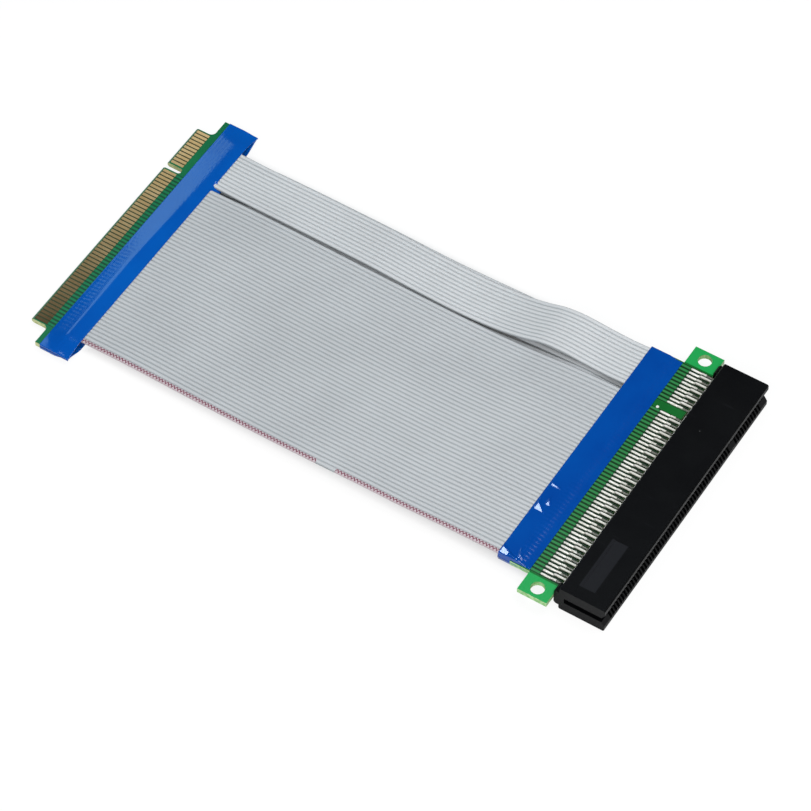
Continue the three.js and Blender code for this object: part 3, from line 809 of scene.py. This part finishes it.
cameraShape = {
    "azimuth": 32.19, "elevation": 53.16, "distance": 1057.6, "lens": 177.2,
    "aim": (9.39, -9.07, 0.0),
}


def addCamera():
    a, e = math.radians(cameraShape["azimuth"]), math.radians(cameraShape["elevation"])
    back = Vector((math.sin(a) * math.cos(e), -math.cos(a) * math.cos(e), math.sin(e)))
    data = bpy.data.cameras.new("camera")
    data.lens = cameraShape["lens"]
    data.sensor_width = 36
    data.sensor_fit = "AUTO"
    data.clip_start = 0.01
    data.clip_end = 20
    data.dof.use_dof = False
    camera = bpy.data.objects.new("camera", data)
    camera.location = (Vector(cameraShape["aim"]) + back * cameraShape["distance"]) * mm
    camera.rotation_euler = back.to_track_quat("Z", "Y").to_euler()
    bpy.context.scene.collection.objects.link(camera)
    bpy.context.scene.camera = camera


# Place, aim and size in metres, power in watts, colour
lamps = {
    "softboxFront": ((0.25, -0.75, 0.75), (0.0, 0.0, 0.0), (0.9, 0.5), 6.5, (1.0, 1.0, 1.0)),
    "softboxTop": ((0.35, 0.1, 0.95), (0.0, 0.0, 0.0), (0.6, 0.6), 4.2, (1.0, 1.0, 1.0)),
    "sheenBox": ((-0.423, 0.3, 0.392), (-0.08, 0.0, 0.0), (0.12, 0.34), 0.18, (0.55, 0.95, 1.0)),
    "glintBox": ((-0.136, 0.165, 0.647), (0.06, -0.03, 0.0), (0.08, 0.08), 0.36, (0.72, 0.86, 1.0)),
}


def addLamps():
    for name, (place, aim, size, power, color) in lamps.items():
        data = bpy.data.lights.new(name, "AREA")
        data.shape = "RECTANGLE"
        data.size, data.size_y = size
        data.energy = power
        data.color = color
        lamp = bpy.data.objects.new(name, data)
        lamp.location = place
        lamp.rotation_euler = (Vector(place) - Vector(aim)).to_track_quat("Z", "Y").to_euler()
        bpy.context.scene.collection.objects.link(lamp)


def addWorld():
    world = bpy.data.worlds.new("studio")
    world.use_nodes = True
    bpy.context.scene.world = world
    tree = world.node_tree
    tree.nodes.clear()
    path = node(tree, "ShaderNodeLightPath").outputs
    seen = mathNode(tree, "MAXIMUM", path["Is Camera Ray"], path["Is Transmission Ray"])
    # Reflections see a dim room, so that dark and deep-coloured pieces keep their colour
    room = node(tree, "ShaderNodeBackground", {"Color": hexColor("#FFFFFF"), "Strength": 0.3})
    dim = node(tree, "ShaderNodeBackground", {"Color": hexColor("#FFFFFF"), "Strength": 0.015})
    plain = node(tree, "ShaderNodeBackground", {"Color": hexColor("#FFFFFF"), "Strength": 1.0})
    mirrored = node(tree, "ShaderNodeMixShader", {
        0: path["Is Glossy Ray"], 1: room.outputs[0], 2: dim.outputs[0]})
    both = node(tree, "ShaderNodeMixShader", {0: seen, 1: mirrored.outputs[0], 2: plain.outputs[0]})
    node(tree, "ShaderNodeOutputWorld", {"Surface": both.outputs[0]})


# Where the floor lies under the cable, in metres, and how much of it glows to the camera elsewhere
floorShade = {"X": (-0.068, 0.06), "Y": (-0.034, 0.036), "soft": 0.006, "glow": 0.86}


def addFloor():
    # Pale floor that the camera sees as white, with the object's shadow left faintly on it
    material, tree = newMaterial("paleFloor")
    path = node(tree, "ShaderNodeLightPath").outputs
    seen = mathNode(tree, "MAXIMUM", path["Is Camera Ray"], path["Is Transmission Ray"])
    paint = node(tree, "ShaderNodeBsdfDiffuse", {"Color": hexColor("#F2F2F2")})
    glow = node(tree, "ShaderNodeEmission", {"Color": hexColor("#FFFFFF"), "Strength": 1.03})
    # Under the cable the shadow stays whole, so the slit between the ribbons looks dark
    spot = node(tree, "ShaderNodeSeparateXYZ", {0: node(tree, "ShaderNodeTexCoord").outputs["Object"]})
    clear = 0.0
    for axis in ("X", "Y"):
        low, high = floorShade[axis]
        for edge, step in ((low, -floorShade["soft"]), (high, floorShade["soft"])):
            away = node(tree, "ShaderNodeMapRange", {
                "Value": spot.outputs[axis], "From Min": edge, "From Max": edge + step}).outputs["Result"]
            clear = mathNode(tree, "MAXIMUM", clear, away)
    amount = mathNode(tree, "MULTIPLY", clear, floorShade["glow"])
    lit = node(tree, "ShaderNodeMixShader", {0: amount, 1: paint.outputs[0], 2: glow.outputs[0]})
    both = node(tree, "ShaderNodeMixShader", {0: seen, 1: paint.outputs[0], 2: lit.outputs[0]})
    finishMaterial(tree, both.outputs[0])
    bm = bmesh.new()
    bmesh.ops.create_grid(bm, x_segments=1, y_segments=1, size=3.0)
    floor = meshObject("floor", bm, material, smooth=False)
    floor.data.transform(Matrix.Translation((0, 0, -0.0002)))


def dress(name, material):
    # Gives a CAD node its finish
    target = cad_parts[name]
    target.data.materials.clear()
    target.data.materials.append(material)


addCamera()
addWorld()
addLamps()
addFloor()
print("stage: camera, lamps and floor")

vinyl = ribbonMaterial()
for groupName in groups:
    for layer in ("top", "bottom"):
        ribbonPiece(groupName, layer, vinyl)
print("stage: ribbons")

film = tapeMaterial()
for layer in ("top", "bottom"):
    edgeTape(layer, film)
    socketTape(layer, film)
print("stage: tapes")

dress("edge_board", laminateMaterial("greenMaskEdge", edgeLaminate))
dress("socket_board", laminateMaterial("greenMaskSocket", socketLaminate))
dress("socket_housing", housingMaterial())
goldFingers(goldMaterial())
solderJoints(tinMaterial("brightSolder", "#E6E4DA", "#FFFEF8", 0.3, 0.5))
registrationDot(inkMaterial())
contactTails(tinMaterial("tinPlatedBronze", "#E0DED4", "#F8F6EE", 0.28, 0.45))
print("stage: boards, fingers and solder")

bpy.context.scene.view_settings.view_transform = "Standard"
